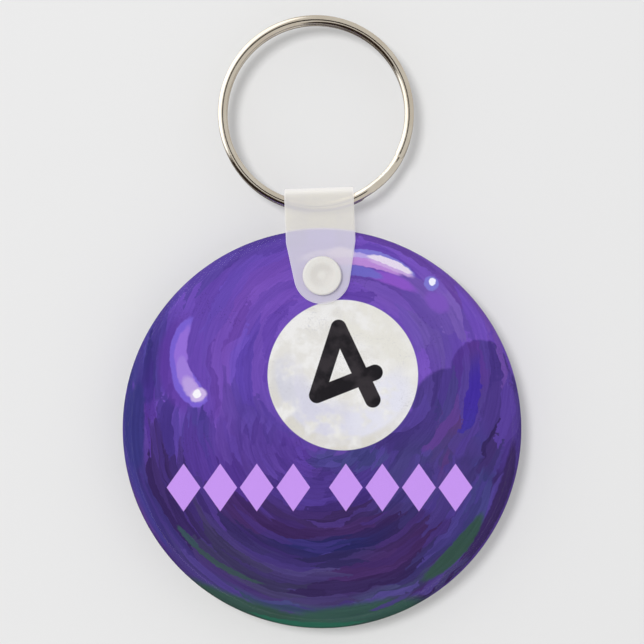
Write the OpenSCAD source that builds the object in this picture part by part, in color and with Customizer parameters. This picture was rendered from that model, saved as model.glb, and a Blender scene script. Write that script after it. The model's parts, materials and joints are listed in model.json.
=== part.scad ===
// Round button key ring, hanging from its split ring.
// Frame: origin at the centre of the split ring, +Z up, +X to the right, face towards -Y.

/* [Button] */
// Diameter of the button
button_d = 57.15; // [56:0.05:62]
// Thickness of the button, from the clear film to the back of the crimp ring
button_t = 4.2; // [4:0.1:4.4]
// Radius of the rounded shoulder round the face
shoulder_r = 1.6; // [1.2:0.1:1.8]
// Radius of the fold round the back edge
toe_r = 0.9; // [0.8:0.05:1]
// Thickness of the clear film
film_t = 0.1; // [0.05:0.01:0.12]
// Thickness of the printed paper disc
paper_t = 0.15; // [0.1:0.01:0.18]
// Thickness of the tinplate
plate_t = 0.3; // [0.2:0.02:0.3]
// Width of the hem that folds behind the button
hem_w = 3.6; // [3.2:0.1:3.7]
// Height of the snap above the centre of the button
snap_rise = 21.8; // [21:0.1:21.9]

/* [Back insert] */
// Wall thickness of the plastic insert
insert_wall = 1; // [0.8:0.1:1.2]
// Radius of the shallow panel in the middle of the back
panel_r = 17; // [10:0.5:18]
// Depth of that panel
panel_depth = 0.25; // [0.1:0.05:0.4]

/* [Split ring] */
// Outer diameter of the split ring
ring_d = 28; // [27.5:0.1:28.5]
// Width of the wire, across the ring
wire_w = 1.35; // [1.2:0.05:1.4]
// Thickness of one coil, along the axis of the ring
wire_t = 0.95; // [0.8:0.05:0.95]
// Height of the centre of the ring above the snap
ring_rise = 23.27; // [23.1:0.01:23.4]
// Angle of the free end of the front coil
ring_end = -29; // [-32:1:40]
// Angle over which the wire crosses from one coil to the other
jog_span = 30; // [26:1:32]

/* [Strap] */
// Width of the strap
strap_w = 9.84; // [9:0.02:10]
// Thickness of the strap
strap_t = 0.75; // [0.6:0.05:0.8]
// Height of the top of the loop above the snap
strap_rise = 12.6; // [12.5:0.05:12.8]
// Radius of the rounded end, which is centred on the snap
strap_end_r = 4; // [3.6:0.1:4.2]
// Height above the snap at which the strap starts to narrow
strap_taper_z = 4.8; // [4.5:0.1:6]
// Lean of the strap and ring to the left, in degrees
lean = 2.14; // [0:0.01:4]

/* [Snap] */
// Diameter of the two snap heads
head_d = 5.55; // [5.2:0.05:6]
// Thickness of the front head
head_t = 1; // [0.9:0.05:1.2]
// Thickness of the socket on the back
socket_t = 1.7; // [1.6:0.1:2]
// Diameter of the post through the button
post_d = 3; // [2.8:0.05:3.1]
// Diameter of the bead that snaps into the socket
bead_d = 2.5; // [2.3:0.05:2.6]
// Radius of the shallow dish in the front head
dish_r = 2; // [1.8:0.05:2.1]

/* [Hidden] */
$fn = 96;
// Gap between pieces that lie against each other
gap = 0.02;
// Radial gap round the post, where the button turns
running_gap = 0.09;
// Gap between the button and each leaf of the strap
leaf_gap = 0.05;
// Gap between the two coils of the ring
coil_gap = 0.05;
// How far a cutter runs past the surface it cuts
past = 1;

button_r = button_d / 2;
half_t = button_t / 2;
toe_z = -half_t + plate_t + gap;
hem_r = button_r - hem_w;
paper_inset = film_t + gap;
shell_inset = paper_inset + paper_t + gap;
cavity_inset = shell_inset + plate_t;

collar_r = hem_r - gap;
collar_h = 1.5;
boss_r = collar_r - plate_t - gap;
flange_r = button_r - cavity_inset - 0.8;
flange_t = 0.7;
back_z = -half_t + 0.1;

post_r = post_d / 2;
bore_r = post_r + running_gap;
sleeve_r = bore_r + 0.6;
hole_r = sleeve_r + gap;

leaf_in = half_t + leaf_gap;
leaf_out = leaf_in + strap_t;
loop_z = strap_rise - leaf_out;
leaf_hole_r = post_r + gap;
head_r = head_d / 2;
edge_r = 0.3;

ring_mid_r = (ring_d - wire_w) / 2;
coil_pitch = wire_t + coil_gap;
jog_tilt = asin(coil_pitch / 2 / (ring_mid_r * sin(jog_span / 2)));
end_gap = 1;

// Places children at the snap, where local +Z faces the viewer and local +Y points up.
module at_snap() {
    translate([ring_rise * sin(lean), 0, -ring_rise * cos(lean)]) rotate([90, 0, 0]) children();
}

// The same, leaning with the strap and the ring.
module leaning() {
    at_snap() rotate([0, 0, lean]) children();
}

// The same, at the centre of the button.
module at_button() {
    at_snap() translate([0, -snap_rise, 0]) children();
}

// Half section of a flat disc with a rounded front shoulder and a rounded back edge.
module pressed_section(inset) {
    r = button_r - inset;
    front = half_t - inset;
    back = toe_z + inset;
    shoulder = shoulder_r - inset;
    toe = toe_r - inset;
    translate([0, back + toe]) square([r, front - shoulder - back - toe]);
    translate([0, back]) square([r - toe, toe]);
    translate([0, front - shoulder]) square([r - shoulder, shoulder]);
    translate([r - shoulder, front - shoulder]) circle(shoulder);
    translate([r - toe, back + toe]) circle(toe);
}

// One sheet pressed over the button: it covers the face and the side and hems in behind.
module pressed_sheet(inset, thickness) {
    difference() {
        at_button() rotate_extrude() difference() {
            intersection() {
                pressed_section(inset);
                translate([0, -half_t]) square([button_r, button_t]);
            }
            pressed_section(inset + thickness);
            translate([0, toe_z - past]) square([hem_r, past + cavity_inset + gap]);
        }
        at_snap() cylinder(h = button_t + 2 * past, r = hole_r, center = true);
    }
}

module clear_film() {
    color("aliceblue", 0.3) pressed_sheet(0, film_t);
}

module printed_disc() {
    color("rebeccapurple") pressed_sheet(paper_inset, paper_t);
}

module front_shell() {
    color("silver") pressed_sheet(shell_inset, plate_t);
}

// Flat ring that traps the hems, with a collar round the insert and a turned-up outer lip.
module crimp_ring() {
    color("gainsboro") at_button() rotate_extrude() {
        translate([collar_r - plate_t, -half_t]) square([button_r - toe_r - collar_r + plate_t, plate_t]);
        translate([collar_r - plate_t, -half_t]) square([plate_t, collar_h]);
        translate([button_r - toe_r, -half_t + plate_t / 2]) circle(plate_t / 2);
    }
}

// Stepped plastic plate: its boss fills the collar and its flange is held inside the shell.
module insert_section() {
    wall_r = boss_r - insert_wall;
    top = half_t - cavity_inset - gap;
    flange_z = -half_t + collar_h + gap;
    difference() {
        translate([0, back_z]) square([boss_r, insert_wall]);
        translate([0, back_z - past]) square([panel_r, past + panel_depth]);
    }
    translate([wall_r, back_z]) square([insert_wall, top - back_z]);
    translate([wall_r, flange_z]) square([flange_r - wall_r, flange_t]);
}

module back_insert() {
    color("whitesmoke") difference() {
        union() {
            at_button() rotate_extrude() insert_section();
            at_snap() translate([0, 0, back_z]) cylinder(h = half_t - gap - back_z, r = sleeve_r);
        }
        at_snap() cylinder(h = button_t + 2 * past, r = bore_r, center = true);
    }
}

// Outline of one leaf: straight sides that narrow on tangents to the rounded end.
module leaf_outline() {
    reach = norm([strap_w / 2, strap_taper_z]);
    touch = atan2(strap_taper_z, strap_w / 2) - acos(strap_end_r / reach);
    touch_x = strap_end_r * cos(touch);
    touch_y = strap_end_r * sin(touch);
    circle(strap_end_r);
    polygon([
        [-touch_x, touch_y], [touch_x, touch_y],
        [strap_w / 2, strap_taper_z], [strap_w / 2, loop_z],
        [-strap_w / 2, loop_z], [-strap_w / 2, strap_taper_z]
    ]);
}

module strap() {
    color("ghostwhite", 0.7) leaning() difference() {
        union() {
            for (z = [leaf_in, -leaf_out])
                translate([0, 0, z]) linear_extrude(strap_t) leaf_outline();
            translate([0, loop_z, 0]) rotate([0, 90, 0]) difference() {
                cylinder(h = strap_w, r = leaf_out, center = true);
                cylinder(h = strap_w + 2 * past, r = leaf_in, center = true);
                translate([-leaf_out - past, -2 * leaf_out, -strap_w])
                    cube([2 * (leaf_out + past), 2 * leaf_out, 2 * strap_w]);
            }
        }
        cylinder(h = 2 * leaf_out + 2 * past, r = leaf_hole_r, center = true);
    }
}

// Half section of a snap head of the given thickness, with its flat side at zero.
module head_section(thickness) {
    square([head_r - edge_r, thickness]);
    square([head_r, thickness - edge_r]);
    translate([head_r - edge_r, thickness - edge_r]) circle(edge_r);
}

// Dished head, the post that the button turns on, and the bead that snaps home.
module snap_stud() {
    dish_depth = 0.3;
    dish_sphere = (dish_r * dish_r + dish_depth * dish_depth) / (2 * dish_depth);
    head_z = leaf_out + gap;
    bead_h = 0.5;
    tail_end = -leaf_out - gap - 1.2;
    color("ivory") leaning() {
        difference() {
            translate([0, 0, head_z]) rotate_extrude() intersection() {
                head_section(head_t);
                square([head_r, head_t]);
            }
            translate([0, 0, head_z + head_t - dish_depth + dish_sphere]) sphere(dish_sphere);
        }
        translate([0, 0, head_z + head_t - dish_depth - 0.1]) cylinder(h = 0.2, r = 0.6);
        translate([0, 0, -leaf_out]) cylinder(h = leaf_out + head_z + head_t / 4, r = post_r);
        translate([0, 0, tail_end]) cylinder(h = -leaf_out - tail_end + edge_r, r = bead_d / 2 - 0.12);
        translate([0, 0, tail_end]) cylinder(h = bead_h, r = bead_d / 2);
    }
}

module snap_socket() {
    depth = 1.3;
    color("ivory") leaning() mirror([0, 0, 1]) translate([0, 0, leaf_out + gap]) difference() {
        rotate_extrude() head_section(socket_t);
        translate([0, 0, -past]) cylinder(h = past + depth, r = bead_d / 2 + gap);
    }
}

// Section of the wire, rounded at its sides and flat on its faces.
module wire_section() {
    translate([ring_mid_r, 0]) intersection() {
        circle(wire_w / 2);
        square([wire_w, wire_t], center = true);
    }
}

// Two coils of one wire. The jog is an arc of the same wire, tilted about its own middle.
module split_ring() {
    coil_span = 360 - jog_span - end_gap;
    color("wheat") rotate([90, 0, 0]) {
        rotate([0, 0, ring_end]) translate([0, 0, coil_pitch / 2])
            rotate_extrude(angle = coil_span + end_gap) wire_section();
        rotate([0, 0, ring_end]) translate([0, 0, -coil_pitch / 2])
            rotate_extrude(angle = coil_span) wire_section();
        rotate([0, 0, ring_end - jog_span / 2]) rotate([-jog_tilt, 0, 0])
            rotate([0, 0, -jog_span / 2]) rotate_extrude(angle = jog_span) wire_section();
    }
}

clear_film();
printed_disc();
front_shell();
crimp_ring();
back_insert();
strap();
snap_stud();
snap_socket();
split_ring();
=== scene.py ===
"""The looks of a button key ring whose printed disc shows a painted pool ball. Units are metres."""

import json
import math

import bmesh
import bpy
from mathutils import Matrix, Vector, noise


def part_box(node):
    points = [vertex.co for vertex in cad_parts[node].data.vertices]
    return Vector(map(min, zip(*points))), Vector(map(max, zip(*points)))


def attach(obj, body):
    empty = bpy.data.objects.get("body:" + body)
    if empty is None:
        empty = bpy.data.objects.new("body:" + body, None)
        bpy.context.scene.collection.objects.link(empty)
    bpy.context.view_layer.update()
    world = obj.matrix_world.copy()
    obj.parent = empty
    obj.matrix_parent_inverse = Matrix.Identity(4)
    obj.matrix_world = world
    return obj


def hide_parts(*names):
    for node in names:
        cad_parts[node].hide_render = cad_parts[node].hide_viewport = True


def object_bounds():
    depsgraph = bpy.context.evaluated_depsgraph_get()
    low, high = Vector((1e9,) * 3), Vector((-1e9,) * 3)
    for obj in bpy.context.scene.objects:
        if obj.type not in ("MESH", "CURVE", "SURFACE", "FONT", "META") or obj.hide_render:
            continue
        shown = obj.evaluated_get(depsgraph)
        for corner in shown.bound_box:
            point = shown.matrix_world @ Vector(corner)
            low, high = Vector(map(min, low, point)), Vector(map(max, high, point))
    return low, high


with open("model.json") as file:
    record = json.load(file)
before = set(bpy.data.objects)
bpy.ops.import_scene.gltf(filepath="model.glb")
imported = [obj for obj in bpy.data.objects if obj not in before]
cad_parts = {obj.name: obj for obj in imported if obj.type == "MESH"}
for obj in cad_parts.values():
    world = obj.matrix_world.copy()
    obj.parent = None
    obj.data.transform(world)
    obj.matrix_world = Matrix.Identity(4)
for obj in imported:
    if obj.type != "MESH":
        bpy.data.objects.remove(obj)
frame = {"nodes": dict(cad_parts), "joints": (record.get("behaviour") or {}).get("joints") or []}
cad_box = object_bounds()

MM = 0.001
DRILL_LENGTH = 12 * MM  # more than the thickness of the whole object

JOINTS = {joint["name"]: joint for joint in frame["joints"]}
SNAP = Vector(JOINTS["button_swing"]["pos_m"])
LOOP = Vector(JOINTS["strap_swing"]["pos_m"])
ACROSS = Vector(JOINTS["strap_swing"]["axis"]).normalized()
ALONG = (LOOP - SNAP).normalized()
BACK = Vector((0, 1, 0))


# ------------------------ places and sizes from the frame

def width(node):
    """Size of a CAD node's box along X, Y and Z."""
    low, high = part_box(node)
    return high - low


film_low, film_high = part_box("clear_film")
BUTTON = Vector(((film_low.x + film_high.x) / 2, 0, (film_low.z + film_high.z) / 2))
BUTTON_R = (film_high.x - film_low.x) / 2
FACE_Y = film_low.y
HEM_Y = film_high.y
REAR_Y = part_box("crimp_ring")[1].y
FILM_T = 0.1 * MM
PAPER_T = 0.15 * MM
LAYER_GAP = 0.02 * MM
PLATE_T = 0.3 * MM
SHOULDER_R = 1.6 * MM  # of the rounded front edge
TOE_R = 0.9 * MM  # of the rounded back edge
HEM_W = 3.6 * MM  # how far the hems turn in at the back
BORE_R = 1.59 * MM  # of the sleeve round the snap's post
SLEEVE_R = 2.19 * MM
SNAP_HOLE_R = SLEEVE_R + LAYER_GAP
STRAP_T = 0.75 * MM
WIRE_W = 1.35 * MM  # of the ring's wire, across the ring
WIRE_T = 0.95 * MM  # and along the ring's axis
COIL_PITCH = 1.0 * MM
JOG_SPAN = 30.0  # degrees over which the wire crosses from one coil to the other
END_GAP = 1.0  # degrees between a free end of the wire and the jog
RING_END = -28.0  # degrees from +X at which the wire starts
RING_TURN = 360 - JOG_SPAN - END_GAP


# ------------------------ mesh helpers

def add_object(name, data):
    """A new object in the scene; data may be a mesh, a light, a camera or nothing."""
    made = bpy.data.objects.new(name, data)
    bpy.context.scene.collection.objects.link(made)
    return made


def add_bmesh(name, build):
    """A new mesh object out of a bmesh, which is used up."""
    mesh = bpy.data.meshes.new(name)
    build.to_mesh(mesh)
    build.free()
    return add_object(name, mesh)


def mesh_object(name, vertices, faces):
    """A new mesh object with outward faces."""
    build = bmesh.new()
    corners = [build.verts.new(place) for place in vertices]
    for face in faces:
        build.faces.new([corners[i] for i in face])
    bmesh.ops.recalc_face_normals(build, faces=build.faces)
    return add_bmesh(name, build)


def smooth(piece, crease):
    """Smooth shading, with edges sharper than the crease, in degrees, kept crisp."""
    build = bmesh.new()
    build.from_mesh(piece.data)
    limit = math.radians(crease)
    for face in build.faces:
        face.smooth = True
    for edge in build.edges:
        edge.smooth = edge.calc_face_angle(0) < limit
    build.to_mesh(piece.data)
    build.free()
    weighted = piece.modifiers.new("even_normals", "WEIGHTED_NORMAL")
    weighted.keep_sharp = True


def arc(centre, radius, start, end, steps):
    """Points of a flat arc, with the angles in degrees."""
    points = []
    for i in range(steps + 1):
        angle = math.radians(start + (end - start) * i / steps)
        points.append((centre[0] + radius * math.cos(angle), centre[1] + radius * math.sin(angle)))
    return points


def lathe(name, profile, origin, segments=192, shape=None):
    """Turns a closed outline of (radius, depth) points about the axis through origin along +Y.

    Shape, if given, moves each point by its radius, depth and angle.
    """
    vertices = []
    rings = []
    for radius, depth in profile:
        if radius == 0:
            rings.append([len(vertices)] * segments)
            vertices.append(origin + Vector((0, depth, 0)))
            continue
        ring = []
        for i in range(segments):
            angle = math.tau * i / segments
            r, d = shape(radius, depth, angle) if shape else (radius, depth)
            ring.append(len(vertices))
            vertices.append(origin + Vector((r * math.cos(angle), d, r * math.sin(angle))))
        rings.append(ring)
    faces = []
    for a, b in zip(rings, rings[1:] + rings[:1]):
        if a[0] == a[1] and b[0] == b[1]:
            continue
        for i in range(segments):
            j = (i + 1) % segments
            corners = [a[i], a[j], b[j], b[i]]
            faces.append(list(dict.fromkeys(corners)))
    return mesh_object(name, vertices, faces)


def apply_modifiers(piece):
    """Bakes a piece's modifiers into its mesh."""
    bpy.context.view_layer.update()
    evaluated = piece.evaluated_get(bpy.context.evaluated_depsgraph_get())
    mesh = bpy.data.meshes.new_from_object(evaluated)
    piece.modifiers.clear()
    piece.data = mesh


def drill_snap_hole(piece, radius):
    """Cuts the round hole that the post of the snap passes through."""
    build = bmesh.new()
    bmesh.ops.create_cone(
        build, cap_ends=True, segments=64, radius1=radius, radius2=radius, depth=DRILL_LENGTH,
        matrix=Matrix.Translation(SNAP) @ Matrix.Rotation(math.pi / 2, 4, "X"),
    )
    cutter = add_bmesh("cutter", build)
    cut = piece.modifiers.new("hole", "BOOLEAN")
    cut.operation = "DIFFERENCE"
    cut.solver = "EXACT"
    cut.object = cutter
    apply_modifiers(piece)
    bpy.data.objects.remove(cutter)


def finish_piece(piece, body, node, material, crease=35):
    """Smooths and paints a piece, lets it stand for its CAD node, and makes it ride on its body."""
    smooth(piece, crease)
    piece.data.materials.clear()
    piece.data.materials.append(material)
    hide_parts(node)
    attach(piece, body)


# ------------------------ node helpers

def rgb(red, green, blue):
    """A colour given as 0 to 255 in sRGB, as linear values."""
    def linear(value):
        share = value / 255
        return share / 12.92 if share <= 0.04045 else ((share + 0.055) / 1.055) ** 2.4
    return (linear(red), linear(green), linear(blue), 1)


class Field:
    """A number that varies over a surface, held as a node socket, with ordinary arithmetic."""

    def __init__(self, paint, socket):
        self.paint = paint
        self.socket = socket

    def __add__(self, other):
        return self.paint.math("ADD", self, other)

    def __sub__(self, other):
        return self.paint.math("SUBTRACT", self, other)

    def __rsub__(self, other):
        return self.paint.math("SUBTRACT", other, self)

    def __mul__(self, other):
        return self.paint.math("MULTIPLY", self, other)

    def __truediv__(self, other):
        return self.paint.math("DIVIDE", self, other)

    def __abs__(self):
        return self.paint.math("ABSOLUTE", self)

    __radd__ = __add__
    __rmul__ = __mul__


class Paint:
    """A material or a world in nodes, built with short calls.

    A value is a number, a colour, a Field or a socket.
    """

    def __init__(self, name, world=False):
        self.made = (bpy.data.worlds if world else bpy.data.materials).new(name)
        self.made.use_nodes = True
        self.nodes = self.made.node_tree.nodes
        self.links = self.made.node_tree.links
        self.nodes.clear()
        self.output = self.nodes.new("ShaderNodeOutputWorld" if world else "ShaderNodeOutputMaterial")
        self.place = self.nodes.new("ShaderNodeTexCoord").outputs["Object"]

    def feed(self, socket, value):
        """Links or sets one input."""
        if isinstance(value, Field):
            value = value.socket
        if isinstance(value, bpy.types.NodeSocket):
            self.links.new(value, socket)
        elif value is not None:
            socket.default_value = value

    def node(self, kind, inputs=None, **settings):
        """A new node with its settings and inputs."""
        made = self.nodes.new(kind)
        for key, value in settings.items():
            setattr(made, key, value)
        for key, value in (inputs or {}).items():
            self.feed(made.inputs[key], value)
        return made

    def read(self, kind, output, **inputs):
        """One output of a new node, as a Field."""
        return Field(self, self.node(kind, inputs).outputs[output])

    def math(self, operation, a, b=None, c=None):
        """A Math node on up to three numbers."""
        made = self.node("ShaderNodeMath", {0: a, 1: b, 2: c}, operation=operation)
        return Field(self, made.outputs[0])

    def weigh(self, x, a, y, b, c):
        """x * a + y * b + c."""
        rest = self.math("MULTIPLY_ADD", y, b, c) if b else c
        return self.math("MULTIPLY_ADD", x, a, rest)

    def low(self, a, b):
        """The lower of two numbers."""
        return self.math("MINIMUM", a, b)

    def high(self, a, b):
        """The higher of two numbers."""
        return self.math("MAXIMUM", a, b)

    def distance(self, x, y):
        """Distance of a place from the zero point."""
        return self.math("SQRT", x * x + y * y)

    def ramp(self, value, start, end, low=0.0, high=1.0):
        """Goes smoothly from low to high as the value goes from start to end."""
        made = self.node(
            "ShaderNodeMapRange", {0: value, 1: start, 2: end, 3: low, 4: high},
            interpolation_type="SMOOTHSTEP", clamp=False,
        )
        return Field(self, made.outputs[0])

    def split(self, vector, scale=1.0, origin=(0, 0, 0)):
        """The three parts of a vector, measured from an origin and scaled."""
        moved = self.node("ShaderNodeVectorMath", {0: vector, 1: tuple(origin)}, operation="SUBTRACT")
        parts = self.node("ShaderNodeSeparateXYZ", {0: moved.outputs[0]})
        return [Field(self, out) * scale for out in parts.outputs]

    def parts(self, colour):
        """The red, green and blue of a colour."""
        return [Field(self, out) for out in self.node("ShaderNodeSeparateColor", {0: colour}).outputs]

    def grey(self, value, low, high):
        """A grey between two levels, as a colour."""
        return self.mix(value, (low, low, low, 1), (high, high, high, 1))

    def join(self, x, y, z=0.0):
        """A vector of three numbers."""
        return self.node("ShaderNodeCombineXYZ", {0: x, 1: y, 2: z}).outputs[0]

    def noise(self, vector, scale, detail=3.0, roughness=0.5, stretch=None):
        """Soft noise from 0 to 1. Stretch scales the three directions apart."""
        if stretch:
            mapping = self.node("ShaderNodeMapping", {"Vector": vector, "Scale": stretch})
            vector = mapping.outputs[0]
        return self.read(
            "ShaderNodeTexNoise", "Fac", Vector=vector, Scale=scale, Detail=detail, Roughness=roughness
        )

    def mix(self, factor, a, b, blend="MIX"):
        """Mixes two colours."""
        made = self.node("ShaderNodeMix", data_type="RGBA", blend_type=blend)
        made.clamp_factor = True
        self.feed(made.inputs[0], factor)
        self.feed(made.inputs[6], a)
        self.feed(made.inputs[7], b)
        return made.outputs[2]

    def bump(self, height, depth, strength=1.0):
        """The normal of a surface that height, from 0 to 1, raises by up to the depth."""
        made = self.node("ShaderNodeBump", {"Height": height, "Distance": depth, "Strength": strength})
        return made.outputs[0]

    def principled(self, **inputs):
        """The main surface shader; its inputs are named with underscores for spaces."""
        named = {key.replace("_", " "): value for key, value in inputs.items()}
        return self.node("ShaderNodeBsdfPrincipled", named).outputs[0]

    def clear(self, tint=None):
        """A see-through shader."""
        return self.node("ShaderNodeBsdfTransparent", {"Color": tint}).outputs[0]

    def blend(self, factor, a, b):
        """Mixes two shaders."""
        made = self.node("ShaderNodeMixShader", {0: factor})
        self.feed(made.inputs[1], a)
        self.feed(made.inputs[2], b)
        return made.outputs[0]

    def done(self, surface):
        """Gives the output its shader, and returns the finished material or world."""
        self.links.new(surface, self.output.inputs["Surface"])
        return self.made


# ------------------------ the printed picture, in millimetres
# Places on the picture are measured from the centre of the disc. Turns are in degrees from straight
# down, and positive to the right.

DEGREES = 180 / math.pi
SWAY = 3.0  # how far the brush wanders off its round
RAG = 0.5  # how ragged a stroke's edge is, as a share of the stroke
PULL = 0.7  # how far a stroke takes its colour from its own middle
SLOPE = 0.2  # of the line below which the strokes go round the disc, and above it round the spot
SPOT = (2.96, 7.7)
SPOT_R = 10.72
DISC = (0.0, 0.0)
GLEAM = (-12.8, 9.5)  # centre of the long gleam on the left

VIOLET = (110, 77, 180)
DUSK = (61, 43, 95)
BLUE_VIOLET = (101, 76, 180)
ROSE_VIOLET = (111, 74, 171)
BRIGHT_VIOLET = (117, 80, 183)
INDIGO = (84, 66, 153)
DEEP_BLUE = (58, 54, 125)
NAVY = (45, 46, 104)
PLUM = (60, 43, 100)
WINE = (63, 41, 94)
MAUVE = (82, 56, 144)
SLATE = (64, 57, 97)
SLATE_BLUE = (68, 61, 121)
GREEN = (53, 81, 70)
TEAL = (44, 100, 82)
LILAC = (200, 152, 242)
DRY_PAINT = (44, 34, 74)
INK = (34, 32, 36)
PALE_INK = (56, 52, 56)

# Broad strokes round the white spot: (turn, reach), (half turn, half width), colour.
ROUND_SPOT = [
    ((-95, 14.3), (46, 1.3), BLUE_VIOLET),
    ((-100, 17.4), (50, 1.3), ROSE_VIOLET),
    ((-148, 14.8), (26, 2.8), BRIGHT_VIOLET),
    ((-122, 20.6), (24, 1.1), BLUE_VIOLET),
    ((-58, 14.2), (24, 3.6), (86, 65, 151)),
    ((-32, 13.5), (15, 2.2), (84, 56, 148)),
    ((-8, 12.4), (14, 1.5), (70, 69, 132)),
    ((38, 14.5), (34, 4.0), SLATE_BLUE),
    ((118, 14.5), (22, 2.8), (107, 86, 167)),
    ((130, 17.0), (18, 2.0), (121, 94, 179)),
    ((112, 18.4), (12, 1.6), (107, 83, 166)),
    ((148, 13.2), (22, 1.6), (108, 78, 167)),
    ((136, 22.0), (22, 1.4), (110, 81, 167)),
]

# Strokes that follow the rim, in the same form.
ROUND_RIM = [
    ((-142, 28.0), (34, 1.4), INDIGO),
    ((-108, 27.6), (18, 2.0), DEEP_BLUE),
    ((-112, 25.4), (11, 1.2), (78, 56, 146)),
    ((-98, 24.6), (9, 1.0), (85, 53, 145)),
    ((-94, 22.4), (9, 1.2), (75, 58, 140)),
    ((-92, 18.2), (12, 2.6), (75, 63, 144)),
    ((-78, 18.0), (9, 2.6), MAUVE),
    ((-82, 27.4), (18, 1.8), DEEP_BLUE),
    ((-78, 23.6), (10, 1.6), PLUM),
    ((-62, 24.2), (13, 2.0), PLUM),
    ((-62, 26.4), (14, 0.9), (64, 53, 122)),
    ((-62, 28.3), (12, 0.9), (84, 57, 127)),
    ((-66, 20.6), (12, 1.6), (68, 50, 118)),
    ((-46, 19.2), (9, 0.9), (71, 52, 124)),
    ((-44, 16.6), (16, 1.4), WINE),
    ((-30, 18.6), (18, 1.5), (57, 46, 100)),
    ((-36, 22.6), (22, 2.3), SLATE),
    ((-10, 22.8), (22, 2.6), SLATE),
    ((-43, 26.8), (16, 1.4), (71, 61, 120)),
    ((-14, 25.8), (16, 0.6), (59, 73, 104)),
    ((-2, 15.2), (36, 1.3), WINE),
    ((5, 17.2), (24, 1.4), NAVY),
    ((2, 19.2), (30, 0.9), (56, 48, 100)),
    ((0, 20.5), (13, 0.6), (70, 65, 98)),
    ((14, 22.8), (22, 1.8), (60, 44, 95)),
    ((30, 20.8), (18, 1.6), (66, 42, 95)),
    ((22, 25.2), (16, 0.8), (67, 68, 110)),
    ((44, 23.6), (14, 1.2), (59, 54, 110)),
    ((66, 24.4), (18, 1.6), (64, 61, 121)),
    ((68, 21.2), (12, 1.6), (68, 56, 118)),
    ((82, 24.8), (8, 2.4), PLUM),
    ((42, 27.8), (9, 0.9), (71, 64, 114)),
    ((138, 28.2), (24, 1.0), (111, 77, 167)),
]

# Crisp strokes laid over them: (turn, reach), (half turn, half width), slant if any, colour.
OVER_RIM = [
    ((-91, 26.8), (13, 1.5), (57, 55, 124)),
    ((67, 27.35), (19, 0.95), (57, 41, 91)),
    ((60, 28.75), (28, 0.5), (84, 58, 142)),
    ((48, 25.8), (14, 1.05), GREEN),
    ((-38, 24.2), (17, 0.35), -2.1, (60, 79, 84)),
    ((-51, 24.5), (5, 0.4), -2.1, (58, 80, 90)),
    ((-16, 29.0), (25, 2.6), GREEN),
    ((9, 28.7), (21, 3.4), (53, 84, 75)),
    ((-4, 28.1), (17, 0.5), TEAL),
    ((22, 26.6), (7, 0.3), -1.0, (72, 63, 122)),
]

# The dark shape reflected at the right of the ball: centre and half sizes of its lobes.
REFLECTED_LOBES = [
    ((22.5, 8.6), (4.1, 4.1)),
    ((18.5, 3.0), (5.7, 5.7)),
    ((24.5, 2.0), (4.5, 7.6)),
    ((20.0, -5.0), (9.0, 8.0)),
    ((12.0, -4.0), (8.5, 6.5)),
]
REFLECTED = (73, 57, 130)

# Patches within that shape: centre, half sizes, turn if any, colour.
REFLECTED_PATCHES = [
    ((21.6, 10.2), (3.0, 2.6), (86, 52, 140)),
    ((25.4, 8.4), (2.0, 3.4), 20, (78, 60, 141)),
    ((17.0, 3.6), (3.2, 3.6), (74, 64, 134)),
    ((17.3, -1.0), (0.9, 5.0), (90, 56, 116)),
    ((26.6, 2.6), (2.0, 5.0), (81, 58, 141)),
    ((21.9, 4.6), (0.75, 2.4), -3, (62, 42, 156)),
    ((22.6, -3.0), (1.6, 6.5), 6, (62, 65, 135)),
    ((14.0, -4.0), (4.8, 2.2), 12, SLATE_BLUE),
]

# Patches under the spot, in the same form.
PATCHES = [
    ((5.0, -4.6), (5.0, 1.4), 4, (69, 69, 130)),
    ((-9.0, -3.4), (5.5, 3.2), -30, (88, 62, 150)),
    ((-14.0, -7.0), (6.0, 2.6), -40, (82, 54, 145)),
    ((0.0, -8.6), (9.0, 2.6), (76, 55, 138)),
    ((14.0, -10.0), (6.0, 2.4), 14, (67, 58, 120)),
]


def polar(paint, place, centre, from_top=False):
    """Turn in degrees, from straight down or from straight up, and reach, both about a centre."""
    dx = place[0] - centre[0]
    dy = place[1] - centre[1]
    turn = paint.math("ARCTAN2", dx, dy * (1.0 if from_top else -1.0))
    return turn * DEGREES, paint.distance(dx, dy)


def strokes(paint, x, y, centre, length, across, seed):
    """Curved brush strokes round a centre: the middle of each stroke, and its random colour.

    Length is the angle that a stroke spans, in radians, and across is its width.
    """
    sway = (paint.noise(paint.join(x, y, seed), 0.16, 2.0) - 0.5) * SWAY
    rag = (paint.noise(paint.join(x, y, seed + 7), 1.1, 2.0, 0.6) - 0.5) * RAG
    dx = x + sway - centre[0]
    dy = y - sway - centre[1]
    turn = paint.math("ARCTAN2", dx, dy * -1.0) * (1 / length)
    cells = paint.node(
        "ShaderNodeTexVoronoi",
        {"Vector": paint.join(turn + rag, paint.distance(dx, dy) / across + rag, seed), "Scale": 1.0},
        voronoi_dimensions="3D", feature="F1",
    )
    cell_turn, cell_reach, _ = paint.split(cells.outputs["Position"])
    turn = cell_turn * length
    reach = cell_reach * across
    mid_x = paint.math("SINE", turn) * reach + centre[0]
    mid_y = paint.math("COSINE", turn) * reach * -1.0 + centre[1]
    return mid_x, mid_y, cells.outputs["Color"]


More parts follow.
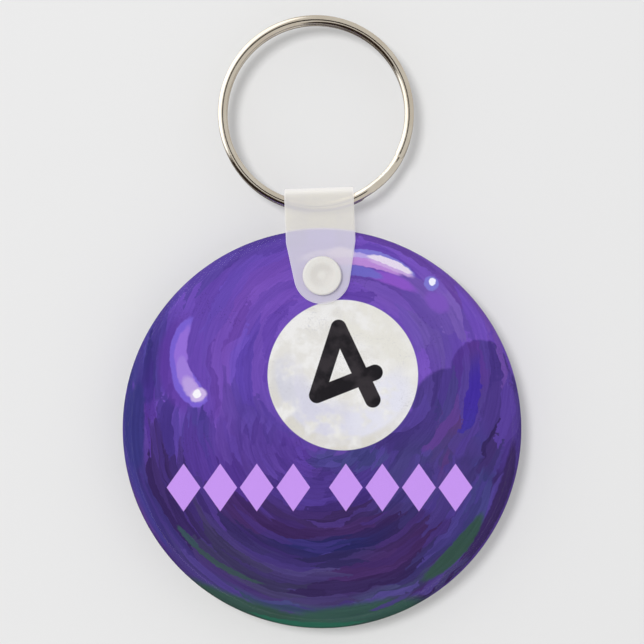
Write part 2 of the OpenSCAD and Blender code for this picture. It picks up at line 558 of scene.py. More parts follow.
def patch(paint, where, centre, size, turn=0.0, soft=0.35, strength=1.0):
    """Full strength inside a turned ellipse, falling to 0 outside it."""
    x, y = where
    cosine, sine = math.cos(math.radians(turn)), math.sin(math.radians(turn))
    a, b = cosine / size[0], sine / size[0]
    along = paint.weigh(x, a, y, b, -(centre[0] * a + centre[1] * b))
    a, b = -sine / size[1], cosine / size[1]
    across = paint.weigh(y, b, x, a, -(centre[0] * a + centre[1] * b))
    spread = paint.math("MULTIPLY_ADD", across, across, along * along)
    return paint.ramp(spread, (1 - soft) ** 2, (1 + soft) ** 2, strength, 0.0)


def line(paint, x, y, start, end):
    """Distance from a straight stroke's centre line."""
    ex, ey = end[0] - start[0], end[1] - start[1]
    dx = x - start[0]
    dy = y - start[1]
    share = paint.low(paint.high((dx * ex + dy * ey) / (ex * ex + ey * ey), 0.0), 1.0)
    return paint.distance(dx - share * ex, dy - share * ey)


def lay(paint, colour, where, rows, within=None, **edge):
    """Lays patches over a colour.

    A row is centre, half sizes, then turn, softness and strength as far as they are given, and colour.
    """
    for centre, size, *rest, shade in rows:
        amount = patch(paint, where, centre, size, *rest, **edge)
        if within:
            amount = within * amount
        colour = paint.mix(amount, colour, rgb(*shade))
    return colour


def ball_colours(paint, x, y, crisp):
    """The ball's painted colours. Crisp is a place with a slightly rough edge, for clear-cut shapes."""
    above = strokes(paint, x, y, SPOT, length=0.55, across=1.5, seed=1.0)
    below = strokes(paint, x, y, DISC, length=0.42, across=0.8, seed=4.0)
    meeting = (paint.noise(paint.join(x, y, 21.0), 0.3, 1.0) - 0.5) * 8.0
    lower = paint.ramp(y + x * SLOPE + meeting, 1.5, -3.5)

    def toward_middle(value, upper_middle, lower_middle):
        """Moves one part of a place toward the middle of its stroke."""
        own_middle = upper_middle + (lower_middle - upper_middle) * lower
        return value + (own_middle - value) * PULL

    flat = (toward_middle(x, above[0], below[0]), toward_middle(y, above[1], below[1]))
    colour = paint.mix(paint.ramp(flat[1], 4, -13), rgb(*VIOLET), rgb(*DUSK))
    colour = lay(paint, colour, polar(paint, flat, SPOT), ROUND_SPOT, strength=0.8)
    dark = 0.0
    for centre, size in REFLECTED_LOBES:
        dark = paint.high(dark, patch(paint, crisp, centre, size, soft=0.05))
    colour = paint.mix(dark * 0.95, colour, rgb(*REFLECTED))
    colour = lay(paint, colour, flat, REFLECTED_PATCHES, within=dark, strength=0.85)
    colour = lay(paint, colour, flat, PATCHES, strength=0.8)
    colour = lay(paint, colour, polar(paint, flat, DISC), ROUND_RIM, strength=0.9)

    chance, blue, rose = paint.parts(paint.mix(lower, above[2], below[2]))
    colour = paint.mix(0.22, colour, paint.grey(chance, 0.0, 1.0), "SOFT_LIGHT")
    colour = paint.mix(paint.ramp(blue, 0.75, 0.8, 0.0, 0.22), colour, rgb(*BLUE_VIOLET))
    colour = paint.mix(paint.ramp(rose, 0.82, 0.86, 0.0, 0.22), colour, rgb(*MAUVE))
    return lay(paint, colour, polar(paint, crisp, DISC), OVER_RIM, soft=0.15, strength=0.95)


def bristles(paint, x, y, colour):
    """Fine streaks that a stiff brush leaves along its strokes, and dry specks where it skipped."""
    lower = paint.ramp(y + x * SLOPE, 2.0, -4.0)
    for centre, amount in ((SPOT, 1 - lower), (DISC, lower)):
        turn, reach = polar(paint, (x, y), centre)
        streak = paint.noise(paint.join(turn * 0.05, reach * 3.0), 1.0, 3.0, 0.6)
        light = paint.grey(paint.ramp(streak, 0.25, 0.75), 0.3, 0.7)
        colour = paint.mix(amount * 0.3, colour, light, "SOFT_LIGHT")
    speck = paint.noise(paint.join(x, y), 4.5, 2.0, 0.6)
    dry = paint.noise(paint.join(x, y, 9.0), 0.22, 2.0)
    amount = paint.ramp(speck, 0.60, 0.66) * paint.ramp(dry, 0.52, 0.62, 0.0, 0.5)
    return paint.mix(amount, colour, rgb(*DRY_PAINT))


def left_gleam(paint, crisp, colour):
    """A long comma of light at the left of the ball, with a small bright spot at its foot."""
    round_gleam = polar(paint, crisp, GLEAM)
    colour = lay(paint, colour, round_gleam, [
        ((-88, 9.2), (40, 1.25), 0.0, 0.5, 0.7, (94, 58, 156)),
        ((-86, 7.55), (52, 1.25), -1.1, 0.06, 0.95, (122, 98, 210)),
        ((-62, 7.2), (28, 1.7), -0.6, 0.06, 0.95, (122, 98, 210)),
    ])
    colour = lay(paint, colour, crisp, [((-17.9, 4.6), (1.5, 1.5), 0, 0.08, 0.95, (124, 98, 210))])
    colour = lay(paint, colour, round_gleam, [
        ((-84, 7.1), (46, 0.95), -1.1, 0.12, 0.9, (150, 112, 216)),
        ((-70, 6.9), (27, 1.05), -0.6, 0.12, 0.9, (160, 128, 220)),
        ((-56, 6.9), (17, 0.95), 0.0, 0.25, 0.95, (188, 162, 226)),
    ])
    return lay(paint, colour, crisp, [
        ((-17.6, 4.9), (1.25, 0.9), 25, 0.2, 0.95, (206, 184, 232)),
        ((-17.8, 5.05), (0.55, 0.6), 0, 0.15, 1.0, (248, 245, 252)),
    ])


def right_gleam(paint, crisp, colour):
    """A bar of light at the upper right, over the spot, with a small round light beside it."""
    over_spot = polar(paint, crisp, SPOT, from_top=True)
    colour = lay(paint, colour, over_spot, [
        ((27, 15.3), (13, 0.75), 2.0, 0.3, 0.9, (142, 88, 200)),
        ((6, 15.0), (16, 0.75), 0.0, 0.15, 0.9, (112, 106, 198)),
        ((17, 17.4), (19, 0.85), 0.0, 0.08, 0.95, (130, 124, 212)),
        ((6, 17.1), (9, 0.55), 0.0, 0.2, 0.9, (190, 172, 231)),
        ((-8, 17.5), (12, 0.6), 0.0, 0.3, 0.9, (206, 192, 238)),
        ((-1, 17.2), (6, 1.0), 0.0, 0.3, 0.9, (226, 208, 238)),
        ((11, 16.35), (19, 0.6), 0.4, 0.12, 0.95, (188, 140, 216)),
        ((24, 17.0), (11, 0.55), 0.8, 0.2, 0.9, (204, 172, 226)),
        ((23, 17.4), (11.2, 0.5), 0.5, 0.12, 1.0, (228, 217, 237)),
    ])
    return lay(paint, colour, crisp, [
        ((16.4, 18.1), (1.8, 1.2), -40, 0.35, 0.85, (127, 87, 191)),
        ((15.5, 20.75), (1.05, 1.0), -40, 0.1, 0.95, (128, 122, 210)),
        ((15.65, 21.0), (0.52, 0.55), 0, 0.12, 1.0, (240, 240, 255)),
    ])


def white_spot(paint, x, y):
    """Marbled white paint of the number's round field, with a cream rim below and lavender above it."""
    where = polar(paint, (x, y), SPOT)
    cloud = paint.noise(paint.join(x, y, 3.0), 0.4, 5.0, 0.65)
    wash = paint.noise(paint.join(x, y, 14.0), 0.3, 4.0, 0.6)
    speck = paint.noise(paint.join(x, y, 3.0), 4.0, 2.0, 0.7)
    colour = paint.mix(paint.ramp(cloud, 0.38, 0.60), rgb(226, 224, 220), rgb(237, 236, 235))
    washes = [
        ((150, 8.2), (70, 2.4), (229, 227, 220)),
        ((-20, 7.2), (70, 2.8), (215, 214, 229)),
        ((50, 7.4), (40, 3.0), (228, 228, 240)),
        ((-78, 8.8), (26, 1.4), (212, 212, 222)),
        ((-18, 10.1), (64, 0.9), (219, 216, 208)),
    ]
    thin = paint.ramp(wash, 0.34, 0.56)
    colour = lay(paint, colour, where, washes, within=thin, soft=0.5)
    grey = paint.ramp(speck, 0.55, 0.66) * paint.ramp(wash, 0.48, 0.62, 0.0, 0.6)
    return paint.mix(grey, colour, rgb(186, 186, 196))


def inside(paint, reach, edge, blur):
    """1 where the reach is less than the edge, and 0 where it is more, with a narrow blur between."""
    return paint.ramp(reach, edge + blur, edge - blur)


def number_four(paint, x, y):
    """1 on the strokes of the number, and 0 elsewhere."""
    top, foot, bar_end, leg_end = (2.36, 14.5), (-0.75, 4.85), (7.55, 8.1), (7.25, 4.2)
    half_stroke = 1.12
    reach = line(paint, x, y, top, foot)
    for start, end in ((foot, bar_end), (top, leg_end)):
        reach = paint.low(reach, line(paint, x, y, start, end))
    return inside(paint, reach, half_stroke, 0.05)


def diamond_row(paint, x, y):
    """1 on two groups of four diamonds, like the sights on a table's rail, and 0 elsewhere."""
    row_x, row_y = -0.35, -8.3
    inner, pitch, last = 3.75, 5.2, 3
    half_w, half_h = 2.4, 3.4
    side = abs(x - row_x)
    number = paint.math("ROUND", (side - inner) / pitch)
    number = paint.low(paint.high(number, 0.0), last)
    reach = abs(side - inner - number * pitch) / half_w + abs(y - row_y) / half_h
    return inside(paint, reach, 1.0, 0.02)


def shade_print(paint):
    """Colour of the whole printed disc. The picture wraps over the rounded edge."""
    wrap = 0.3
    roughness = 0.55
    x, depth, y = paint.split(paint.place, 1 / MM, BUTTON + BACK * FACE_Y)
    spread = 1 + depth * wrap / paint.high(paint.distance(x, y), 1.0)
    x, y = x * spread, y * spread
    rough = paint.node("ShaderNodeTexNoise", {"Vector": paint.join(x, y), "Scale": 1.3, "Detail": 3.0})
    rough_x, rough_y, _ = paint.parts(rough.outputs["Color"])
    crisp = (x + (rough_x - 0.5) * roughness, y + (rough_y - 0.5) * roughness)
    colour = ball_colours(paint, x, y, crisp)
    colour = bristles(paint, x, y, colour)
    colour = left_gleam(paint, crisp, colour)
    colour = right_gleam(paint, crisp, colour)
    from_spot = paint.distance(x - SPOT[0], y - SPOT[1])
    colour = paint.mix(inside(paint, from_spot, SPOT_R, 0.06), colour, white_spot(paint, x, y))
    rubbed = paint.ramp(paint.noise(paint.join(x, y, 30.0), 0.35, 3.0), 0.4, 0.62)
    ink = paint.mix(rubbed, rgb(*INK), rgb(*PALE_INK))
    colour = paint.mix(number_four(paint, x, y), colour, ink)
    return paint.mix(diamond_row(paint, x, y), colour, rgb(*LILAC))


def print_material():
    """Printed paper; its own shine is low, because the film over it has the gloss."""
    paint = Paint("printed_paper")
    grain = paint.noise(paint.place, 9000, 3)
    surface = paint.principled(
        Base_Color=shade_print(paint), Roughness=paint.ramp(grain, 0.3, 0.7, 0.5, 0.6),
        Specular_IOR_Level=0.02, Normal=paint.bump(grain, 0.01 * MM, 0.3),
    )
    return paint.done(surface)


# ------------------------ other materials

def film_material():
    """Clear gloss film: mostly see-through, faintly wavy, and duller where it is stretched."""
    paint = Paint("clear_film_gloss")
    _, depth, _ = paint.split(paint.place, 1 / MM, BACK * FACE_Y)
    wave = paint.noise(paint.place, 120, 2)
    hair = paint.noise(paint.place, 900, 2, 0.5, (1, 1, 14))
    normal = paint.bump(wave + hair * 0.02, 0.12 * MM, 0.35)
    fresnel = paint.read("ShaderNodeFresnel", 0, IOR=1.4, Normal=normal)
    most = paint.ramp(depth, 0.0, 0.02, 0.035, 0.002)
    gloss = paint.node("ShaderNodeBsdfGlossy", {"Roughness": hair * 0.06 + 0.05, "Normal": normal})
    return paint.done(paint.blend(paint.low(fresnel, most), paint.clear(), gloss.outputs[0]))


def nickel_material():
    """Warm bright nickel plate with drawing lines along the wire and tiny handling marks."""
    paint = Paint("warm_nickel")
    x, y, z = paint.split(paint.place, 1 / MM)
    away = paint.distance(x, z)
    lines = paint.noise(paint.join(away, y, 0.0), 9.0, 3, 0.6)
    marks = paint.noise(paint.place, 2600, 3, 0.65)
    cloud = paint.noise(paint.place, 240, 2)
    tint = paint.mix(paint.ramp(cloud, 0.3, 0.7), rgb(224, 217, 205), rgb(214, 204, 189))
    surface = paint.principled(
        Base_Color=tint, Metallic=1.0, Roughness=paint.ramp(marks, 0.4, 0.75, 0.07, 0.17),
        Normal=paint.bump(lines * 0.7 + marks * 0.3, 0.02 * MM, 0.5),
    )
    return paint.done(surface)


def tinplate_material():
    """Rolled tinplate: fine lines round the ring from forming, and dull flecks."""
    paint = Paint("tinplate")
    x, depth, y = paint.split(paint.place, 1 / MM, BUTTON)
    away = paint.distance(x, y)
    lines = paint.noise(paint.join(away, depth * 0.2, 0.0), 16.0, 3, 0.7)
    fleck = paint.noise(paint.place, 4200, 4, 0.7)
    tint = paint.mix(paint.ramp(fleck, 0.35, 0.7), rgb(208, 208, 205), rgb(199, 198, 195))
    surface = paint.principled(
        Base_Color=tint, Metallic=1.0, Roughness=paint.ramp(fleck, 0.3, 0.7, 0.28, 0.36),
        Normal=paint.bump(lines, 0.012 * MM, 0.6),
    )
    return paint.done(surface)


def moulded_material(name, tint, flow_tint, painted_dish_shade, texture_depth, roughness, glow):
    """Moulded plastic with a fine spark texture and soft flow marks. Glow is how much light it passes.

    Painted shade: a darker ring round the snap's axis, on the dish of the snap's heads and on the back
    near the snap, as if the hollow were in shadow.
    """
    dish_r, dish_end, dish_full = 1.15, 0.95, 0.2
    paint = Paint(name)
    grain = paint.noise(paint.place, 5200, 3, 0.6)
    flow = paint.noise(paint.place, 160, 3, 0.5)
    x, _, y = paint.split(paint.place, 1 / MM, SNAP)
    from_dish = abs(paint.distance(x, y) - dish_r)
    colour = paint.mix(paint.ramp(flow, 0.3, 0.75), tint, flow_tint)
    # Painted shade in the hollow of the dish.
    colour = paint.mix(paint.ramp(from_dish, dish_end, dish_full), colour, painted_dish_shade)
    surface = paint.principled(
        Base_Color=colour, Roughness=paint.ramp(grain, 0.3, 0.7, roughness - 0.06, roughness + 0.06),
        Normal=paint.bump(grain, texture_depth), Subsurface_Weight=glow,
        Subsurface_Radius=(1.0, 0.9, 0.8), Subsurface_Scale=0.8 * MM,
    )
    shading = paint.read("ShaderNodeLightPath", "Is Shadow Ray")
    return paint.done(paint.blend(shading * glow, surface, paint.clear()))


def strap_material():
    """Frosted soft plastic with a milky outer skin, with a painted violet tint where it lies over the
    violet print, standing for light bounced up from it, and a painted glow where the skin is seen at a
    slant.
    """
    paint = Paint("frosted_plastic")
    matt = paint.noise(paint.place, 3800, 3, 0.6)
    streak = paint.noise(paint.place, 260, 3, 0.55, (1, 1, 0.25))
    normal = paint.bump(matt * 0.5 + streak * 1.5, 0.03 * MM, 0.5)
    facing = paint.read("ShaderNodeLayerWeight", "Facing", Blend=0.5)
    x, _, y = paint.split(paint.place, 1 / MM, BUTTON)
    # Painted light: a lilac tint where the strap lies over the disc, standing for violet light bounced
    # up from the print.
    painted_violet_bounce = inside(paint, paint.distance(x, y), BUTTON_R / MM, 0.15)
    tint = paint.mix(painted_violet_bounce, rgb(228, 226, 226), rgb(226, 222, 243))
    tint = paint.mix(paint.ramp(streak, 0.3, 0.7, 0.0, 0.4), tint, rgb(221, 219, 227))
    # Painted glow: the skin gives off light where it is seen at a slant, so the fold and the edges look
    # brighter.
    milky_with_painted_glow = paint.principled(
        Base_Color=tint, Roughness=paint.ramp(matt, 0.3, 0.7, 0.36, 0.5), Normal=normal,
        Emission_Color=rgb(255, 252, 248), Emission_Strength=paint.ramp(facing, 0.16, 0.5, 0.0, 0.24),
    )
    passed = paint.node("ShaderNodeBsdfTranslucent", {"Color": tint}).outputs[0]
    body = paint.blend(0.08, milky_with_painted_glow, passed)
    seen = paint.read("ShaderNodeLightPath", "Is Camera Ray")
    warm = paint.mix(seen, (1.0, 1.0, 1.0, 1), (1.0, 0.96, 0.62, 1))
    leaving = paint.read("ShaderNodeNewGeometry", "Backfacing")
    cover = paint.ramp(facing, 0.05, 0.9, 0.75, 0.98) * (seen * 0.6 + 0.4)
    skin = paint.blend(cover, paint.clear(warm), body)
    return paint.done(paint.blend(leaving, skin, paint.clear()))


# ------------------------ pieces

def pressed_outline(inset):
    """Half outline of a pressed layer, from the middle of the face round the edge to the hem."""
    r = BUTTON_R - inset
    front = FACE_Y + inset
    rear = HEM_Y - inset
    shoulder = SHOULDER_R - inset
    toe = TOE_R - inset
    points = [(0.0, front), (r / 2, front)]
    points += arc((r - shoulder, front + shoulder), shoulder, -90, 0, 10)
    points += arc((r - toe, rear - toe), toe, 0, 90, 8)
    points.append((BUTTON_R - HEM_W, rear))
    return points


def pucker(fold_depth):
    """Small uneven folds in a sheet where it is gathered round the back edge."""
    start = FACE_Y + SHOULDER_R * 1.4

    def shape(radius, depth, angle):
        """A point of the sheet, moved by its fold."""
        share = max(0.0, min(1.0, (depth - start) / (HEM_Y - start)))
        unit = Vector((math.cos(angle), math.sin(angle), 0))
        fold = noise.noise(unit * 27) * 0.6 + noise.noise(unit * 63 + Vector((5, 0, 0))) * 0.4
        return radius - share * share * (0.5 + fold) * fold_depth, depth

    return shape


def pressed_piece(node, inset, thickness, material):
    """A sheet pressed over the button, with its hem and the hole for the snap."""
    outer = pressed_outline(inset)
    inner = pressed_outline(inset + thickness)
    piece = lathe("pressed_" + node, outer + inner[::-1], BUTTON, 256, pucker(0.12 * MM))
    drill_snap_hole(piece, SNAP_HOLE_R)
    finish_piece(piece, "button", node, material, 50)


def make_crimp_ring(material):
    """The metal ring on the back: a rolled outer lip, a shallow trough and a turned-in inner edge."""
    outer = width("crimp_ring").x / 2
    inner = BUTTON_R - HEM_W - LAYER_GAP - PLATE_T
    rear = REAR_Y
    front = rear - PLATE_T
    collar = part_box("crimp_ring")[0].y
    lip = PLATE_T / 2
    bend = 0.25 * MM
    inside_bend = 0.05 * MM
    trough = 0.08 * MM
    flat_w = 0.6 * MM
    slope_w = 0.3 * MM
    profile = [(inner, collar)]
    profile += arc((inner + bend, rear - bend), bend, 180, 90, 6)
    profile += [(inner + bend + flat_w, rear), (inner + bend + flat_w + slope_w, rear - trough)]
    profile += [(outer - flat_w - slope_w, rear - trough), (outer - flat_w, rear)]
    profile += arc((outer - lip, rear - lip), lip, 90, -90, 8)
    profile += [(inner + PLATE_T + inside_bend, front), (inner + PLATE_T, front - inside_bend)]
    profile += [(inner + PLATE_T, collar)]
    piece = lathe("crimp_collar", profile, BUTTON, 256)
    finish_piece(piece, "button", "crimp_ring", material)


def absorb(piece, other):
    """Moves the mesh of another piece into this one."""
    build = bmesh.new()
    for part in (piece, other):
        build.from_mesh(part.data)
    build.to_mesh(piece.data)
    build.free()
    bpy.data.objects.remove(other)


def make_back_insert(material):
    """The plastic back: a plate with a sunk panel, a wall, a flange and a sleeve for the post."""
    wall = 1 * MM
    flange_t = 0.7 * MM
    panel_r = 17 * MM
    sunk = 0.25 * MM
    edge = 0.15 * MM
    boss_r = BUTTON_R - HEM_W - PLATE_T - 2 * LAYER_GAP
    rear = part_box("back_insert")[1].y
    top = FACE_Y + FILM_T + PAPER_T + PLATE_T + 3 * LAYER_GAP
    flange_r = width("back_insert").x / 2
    flange_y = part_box("crimp_ring")[0].y - LAYER_GAP
    profile = [(0.0, rear - wall), (boss_r - wall, rear - wall), (boss_r - wall, top), (boss_r, top)]
    profile += [(boss_r, flange_y - flange_t), (flange_r, flange_y - flange_t), (flange_r, flange_y)]
    profile += [(boss_r, flange_y)]
    profile += arc((boss_r - edge, rear - edge), edge, 0, 90, 4)
    profile += arc((panel_r + edge, rear - edge), edge, 90, 150, 3)
    profile += [(panel_r - edge, rear - sunk), (0.0, rear - sunk)]
    piece = lathe("moulded_back", profile, BUTTON, 192)
    drill_snap_hole(piece, BORE_R)
    low, high = FACE_Y + LAYER_GAP, rear - edge
    sleeve = [(BORE_R, low), (SLEEVE_R, low), (SLEEVE_R, high), (BORE_R, high)]
    absorb(piece, lathe("sleeve", sleeve, SNAP, 64))
    finish_piece(piece, "button", "back_insert", material)


def head_profile(radius, flat_y, thickness, dish, side):
    """Outline of a round snap head, from its flat side to its middle. Side is -1 in front, 1 behind."""
    crown = flat_y + side * thickness
    nick = 0.05 * MM
    edge = 0.32 * MM
    rim_r = radius * 0.74
    button_r = 0.6 * MM
    button_rise = 0.08 * MM
    points = [(0.0, flat_y), (radius - nick, flat_y), (radius, flat_y + side * nick)]
    for away, rise in arc((0, 0), edge, 0, 90, 8):
        points.append((radius - edge + away, crown - side * (edge - rise)))
    dish_steps = 9
    for i in range(dish_steps + 1):
        share = i / dish_steps
        sink = 0.5 - 0.5 * math.cos(math.pi * share)
        points.append((rim_r + (button_r - rim_r) * share, crown - side * dish * sink))
    button_y = crown - side * (dish - button_rise)
    points += [(button_r / 3, button_y), (0.0, button_y)]
    return points


def make_snap_stud(material):
    """The front half of the snap: a dished head, a post and the bead that clicks into the socket."""
    low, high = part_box("snap_stud")
    head_t = 1 * MM
    post_r = 1.5 * MM
    bead_r = 1.25 * MM
    neck_r = 1.13 * MM
    neck_length = 0.6 * MM
    bead_length = 0.3 * MM
    chamfer = 0.15 * MM
    head_y = low.y + head_t
    leaf_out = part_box("strap")[1].y
    tip = high.y
    post = [(0.0, tip), (bead_r - chamfer, tip), (bead_r, tip - chamfer)]
    post += [(bead_r, tip - chamfer - bead_length), (neck_r, tip - neck_length)]
    post += [(neck_r, leaf_out + LAYER_GAP), (post_r, leaf_out), (post_r, head_y)]
    head = head_profile(width("snap_stud").x / 2, head_y, head_t, 0.3 * MM, -1)
    piece = lathe("stud", post + head[1:], SNAP, 96)
    finish_piece(piece, "strap", "snap_stud", material)


def make_snap_socket(material):
    """The back half of the snap: a dished cap with a bore for the bead."""
    low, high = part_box("snap_socket")
    bore_r = 1.27 * MM
    bore_end = low.y + 1.3 * MM
    bore = [(0.0, bore_end), (bore_r, bore_end), (bore_r, low.y)]
    cap = head_profile(width("snap_socket").x / 2, low.y, high.y - low.y, 0.25 * MM, 1)
    piece = lathe("socket", bore + cap[1:], SNAP, 96)
    finish_piece(piece, "socket", "snap_socket", material)


def strap_outline(leaf_length):
    """The unfolded strap: straight at the fold, then tapering to a round end at each leaf."""
    half_w = 4.92 * MM
    end_r = 4 * MM
    taper = 4.8 * MM
    straight = leaf_length - taper
    touch = math.degrees(math.atan2(taper, half_w) - math.acos(end_r / math.hypot(half_w, taper)))
    leaf = [(half_w, -straight)] + arc((0, -leaf_length), end_r, touch, -180 - touch, 48)
    leaf.append((-half_w, -straight))
    return leaf + [(x, -y) for x, y in leaf[::-1]]


def strap_blank(outline, edge_r):
    """The flat sheet of the strap, with rounded edges, as an open bmesh."""
    build = bmesh.new()
    face = build.faces.new([build.verts.new((x, y, -STRAP_T / 2)) for x, y in outline])
    raised = bmesh.ops.extrude_face_region(build, geom=[face])
    moved = [v for v in raised["geom"] if isinstance(v, bmesh.types.BMVert)]
    bmesh.ops.translate(build, verts=moved, vec=(0, 0, STRAP_T))
    bmesh.ops.recalc_face_normals(build, faces=build.faces)
    rims = [e for e in build.edges if abs(e.verts[0].co.z - e.verts[1].co.z) < STRAP_T / 2]
    bmesh.ops.bevel(build, geom=rims, offset=edge_r, segments=4, affect="EDGES", profile=0.5)
    return build


def fold_strap(build, neutral):
    """Folds the flat strap round the loop, so that its two leaves hang side by side."""
    half_bend = math.pi / 2 * neutral
    for v in build.verts:
        across, along, out = v.co
        radius = neutral + out
        if abs(along) <= half_bend:
            turn = along / neutral
            depth, rise = radius * math.sin(turn), radius * math.cos(turn)
        else:
            depth, rise = math.copysign(radius, along), half_bend - abs(along)
        v.co = LOOP + ACROSS * across + BACK * depth + ALONG * rise
    bmesh.ops.recalc_face_normals(build, faces=build.faces)


def make_strap(material):
    """The strap is drawn flat, cut across where it bends, and folded round the loop."""
    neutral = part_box("strap")[1].y - STRAP_T / 2
    half_bend = math.pi / 2 * neutral
    leaf_length = half_bend + (LOOP - SNAP).length
    edge_r = 0.22 * MM
    hole_r = 1.52 * MM
    bend_steps = 40
    leaf_cuts = (0.15, 0.3, 0.45, 0.6)
    build = strap_blank(strap_outline(leaf_length), edge_r)
    cuts = [half_bend * (2 * i / bend_steps - 1) for i in range(bend_steps + 1)]
    for share in leaf_cuts:
        at = half_bend + share * (leaf_length - half_bend)
        cuts += [-at, at]
    for at in cuts:
        geom = build.verts[:] + build.edges[:] + build.faces[:]
        bmesh.ops.bisect_plane(build, geom=geom, plane_co=(0, at, 0), plane_no=(0, 1, 0), dist=1e-7)
    fold_strap(build, neutral)
    piece = add_bmesh("folded_strap", build)
    drill_snap_hole(piece, hole_r)
    finish_piece(piece, "strap", "strap", material, 40)


def wire_centre(travelled, mid_r):
    """Middle of the ring's wire, so many degrees along it, and the way out from the ring's axis."""
    angle = math.radians(RING_END + travelled)
    share = max(0.0, min(1.0, (travelled - RING_TURN) / JOG_SPAN))
    crossed = share * share * (3 - 2 * share)
    out = Vector((math.cos(angle), 0, math.sin(angle)))
    sag = Vector((0.04 * MM, 0, -0.13 * MM)) * crossed
    return out * mid_r + sag + BACK * COIL_PITCH * (crossed - 0.5), out


def make_split_ring(material):
    """Two coils of flattened wire, swept from one free end, over the jog, to the other."""
    mid_r = width("split_ring").z / 2 - WIRE_W / 2
    travel = 2 * RING_TURN + JOG_SPAN
    degrees_a_step = 2
    count = round(travel / degrees_a_step)
    section = 24
    end_size = 0.8
    vertices, faces = [], []
    for i in range(count + 1):
        middle_of_wire, out = wire_centre(travel * i / count, mid_r)
        size = end_size if i in (0, count) else 1.0
        for k in range(section):
            turn = math.tau * k / section
            across = math.cos(turn) * WIRE_W / 2 * size
            through = math.sin(turn) * WIRE_T / 2 * size
            vertices.append(middle_of_wire + out * across + BACK * through)
    for i in range(count):
        for k in range(section):
            j = (k + 1) % section
            a, b = i * section, (i + 1) * section
            faces.append([a + k, a + j, b + j, b + k])
    faces.append(list(range(section))[::-1])
    faces.append([count * section + k for k in range(section)])
    piece = mesh_object("coiled_wire", vertices, faces)
    finish_piece(piece, "ring", "split_ring", material, 60)


# ------------------------ stage, light and camera

AMBIENT = 0.62
LIGHT_DISTANCE = 1.1


def marker(name, place, body=None):
    """An unseen point that may move with a body."""
    made = add_object(name, None)
    made.location = place
    if body:
        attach(made, body)
    return made


def stay_behind(piece, markers):
    """Keeps a piece as far back as the furthest of the markers, whatever the pose."""
    follow = piece.driver_add("location", 1).driver
    follow.type = "MAX"
    for point in markers:
        variable = follow.variables.new()
        variable.type = "TRANSFORMS"
        variable.targets[0].id = point
        variable.targets[0].transform_type = "LOC_Y"
        variable.targets[0].transform_space = "WORLD_SPACE"


def backdrop_material():
    """Pale matt surface, which only a camera well in front of it sees."""
    paint = Paint("pale_backdrop")
    cloud = paint.noise(paint.place, 30, 3)
    tint = paint.mix(cloud, rgb(221, 221, 221), rgb(220, 220, 220))
    plain = paint.principled(
        Base_Color=tint, Roughness=0.9, Specular_IOR_Level=0.0,
        Emission_Color=rgb(77, 77, 77), Emission_Strength=1.0,
    )
    seen = paint.read("ShaderNodeLightPath", "Is Camera Ray")
    behind = paint.read("ShaderNodeNewGeometry", "Backfacing")
    facing = paint.read("ShaderNodeLayerWeight", "Facing", Blend=0.5)
    shown = seen * (1 - behind) * paint.ramp(facing, 0.72, 0.82, 1.0, 0.0)
    return paint.done(paint.blend(shown, paint.clear(), plain))


def backdrop():
    """The pale surface just behind the object."""
    half = 3.0
    below = 3 * MM
    corners = [(-half, 0, -half), (half, 0, -half), (half, 0, half), (-half, 0, half)]
    made = mesh_object("backdrop", corners, [(0, 1, 2, 3)])
    if made.data.polygons[0].normal.y > 0:
        made.data.flip_normals()
    made.data.materials.append(backdrop_material())
    gap = BACK * 0.05 * MM
    socket_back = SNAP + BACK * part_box("snap_socket")[1].y + gap
    foot = BUTTON + Vector((0, REAR_Y, -BUTTON_R - below))
    stay_behind(made, [
        marker("rest_depth", socket_back),
        marker("behind_socket", socket_back, "socket"),
        marker("below_button", foot, "button"),
    ])


def soft_light(name, toward, size, power):
    """A round soft light. Reflections come from the studio round the object, not from the light."""
    aim = (cad_box[0] + cad_box[1]) / 2
    direction = Vector(toward).normalized()
    light = bpy.data.lights.new(name, "AREA")
    light.shape = "DISK"
    light.size = size
    light.energy = power
    made = add_object(name, light)
    made.location = aim + direction * LIGHT_DISTANCE
    made.rotation_mode = "QUATERNION"
    made.rotation_quaternion = (-direction).to_track_quat("-Z", "Y")
    made.visible_glossy = False


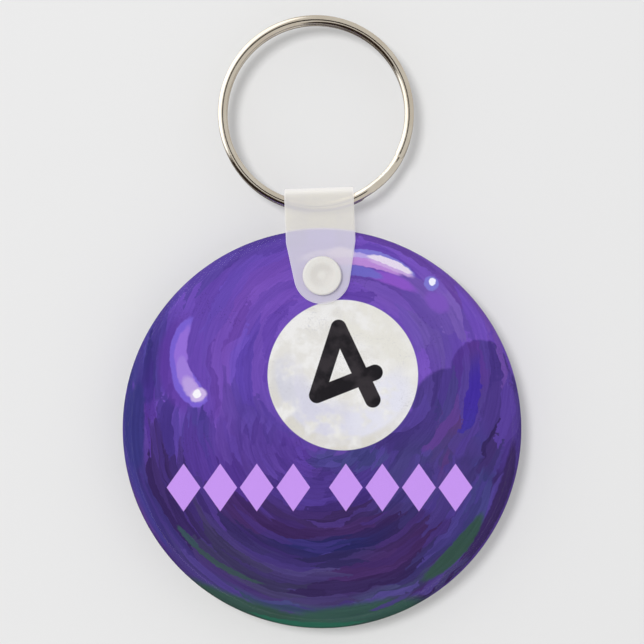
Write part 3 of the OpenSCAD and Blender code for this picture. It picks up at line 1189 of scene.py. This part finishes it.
def studio_world():
    """Even pale light, and for reflections a studio with a white panel and a dark camera."""
    paint = Paint("studio", world=True)
    look = paint.node("ShaderNodeTexCoord").outputs["Generated"]

    def toward(x, y, z, wide, narrow):
        """1 near a direction; wide and narrow are the angles in degrees where it starts and is full."""
        axis = Vector((x, y, z)).normalized()
        near = paint.node("ShaderNodeVectorMath", {0: look, 1: tuple(axis)}, operation="DOT_PRODUCT")
        start, full = math.cos(math.radians(wide)), math.cos(math.radians(narrow))
        return paint.ramp(near.outputs["Value"], start, full)

    _, depth, rise = paint.split(look)
    low_behind = paint.ramp(depth, 0.1, 0.5) * paint.ramp(rise, 0.5, -0.7)
    dark_corner = toward(-0.56, -0.35, -0.75, 46, 38)
    white_panel = toward(-0.82, -0.30, 0.49, 53, 44)
    dark_camera = toward(0, -1, 0, 12, 9)
    colour = paint.mix(low_behind, rgb(222, 220, 216), rgb(120, 118, 116))
    colour = paint.mix(dark_corner, colour, rgb(46, 36, 30))
    colour = paint.mix(white_panel, colour, (1.8, 1.8, 1.8, 1))
    colour = paint.mix(dark_camera, colour, rgb(34, 26, 22))
    reflected = paint.read("ShaderNodeLightPath", "Is Glossy Ray")
    seen = paint.read("ShaderNodeLightPath", "Is Camera Ray")
    even = paint.mix(seen, (AMBIENT, AMBIENT, AMBIENT, 1), rgb(231, 231, 231))
    shown = paint.mix(reflected, even, colour)
    background = paint.node("ShaderNodeBackground", {"Color": shown})
    bpy.context.scene.world = paint.done(background.outputs[0])


def camera():
    """Square on to the face, with the object filling its share of the picture's height."""
    share = 0.952
    distance = 0.34
    low, high = cad_box
    aim = Vector((BUTTON.x, 0, (low.z + high.z) / 2))
    data = bpy.data.cameras.new("camera")
    data.sensor_width = 36
    data.lens = data.sensor_width * distance / ((high.z - low.z) / share)
    data.clip_start, data.clip_end = 0.01, 20
    made = add_object("camera", data)
    made.location = aim - BACK * distance
    made.rotation_euler = (math.pi / 2, 0, 0)
    bpy.context.scene.camera = made


def build():
    """Makes every piece, and gives the CAD's own shell its metal."""
    tinplate = tinplate_material()
    # The third colour of each plastic is its painted shade in the snap's dish.
    cream = moulded_material(
        "cream_plastic", rgb(224, 222, 218), rgb(229, 227, 224), rgb(218, 215, 211),
        texture_depth=0.01 * MM, roughness=0.32, glow=0.3,
    )
    white = moulded_material(
        "white_plastic", rgb(236, 235, 233), rgb(231, 229, 226), rgb(229, 227, 224),
        texture_depth=0.02 * MM, roughness=0.5, glow=0.1,
    )
    pressed_piece("clear_film", 0.0, FILM_T, film_material())
    pressed_piece("printed_disc", FILM_T + LAYER_GAP, PAPER_T, print_material())
    shell = frame["nodes"]["front_shell"]
    shell.data.materials.clear()
    shell.data.materials.append(tinplate)
    make_crimp_ring(tinplate)
    make_back_insert(white)
    make_strap(strap_material())
    make_snap_stud(cream)
    make_snap_socket(cream)
    make_split_ring(nickel_material())


build()
backdrop()
soft_light("key", toward=(-0.27, -1.0, 0.20), size=0.29, power=5.4)
soft_light("rear_fill", toward=(0.7, 1.0, 0.9), size=0.2, power=3.0)
studio_world()
camera()
bpy.context.scene.view_settings.view_transform = "Standard"
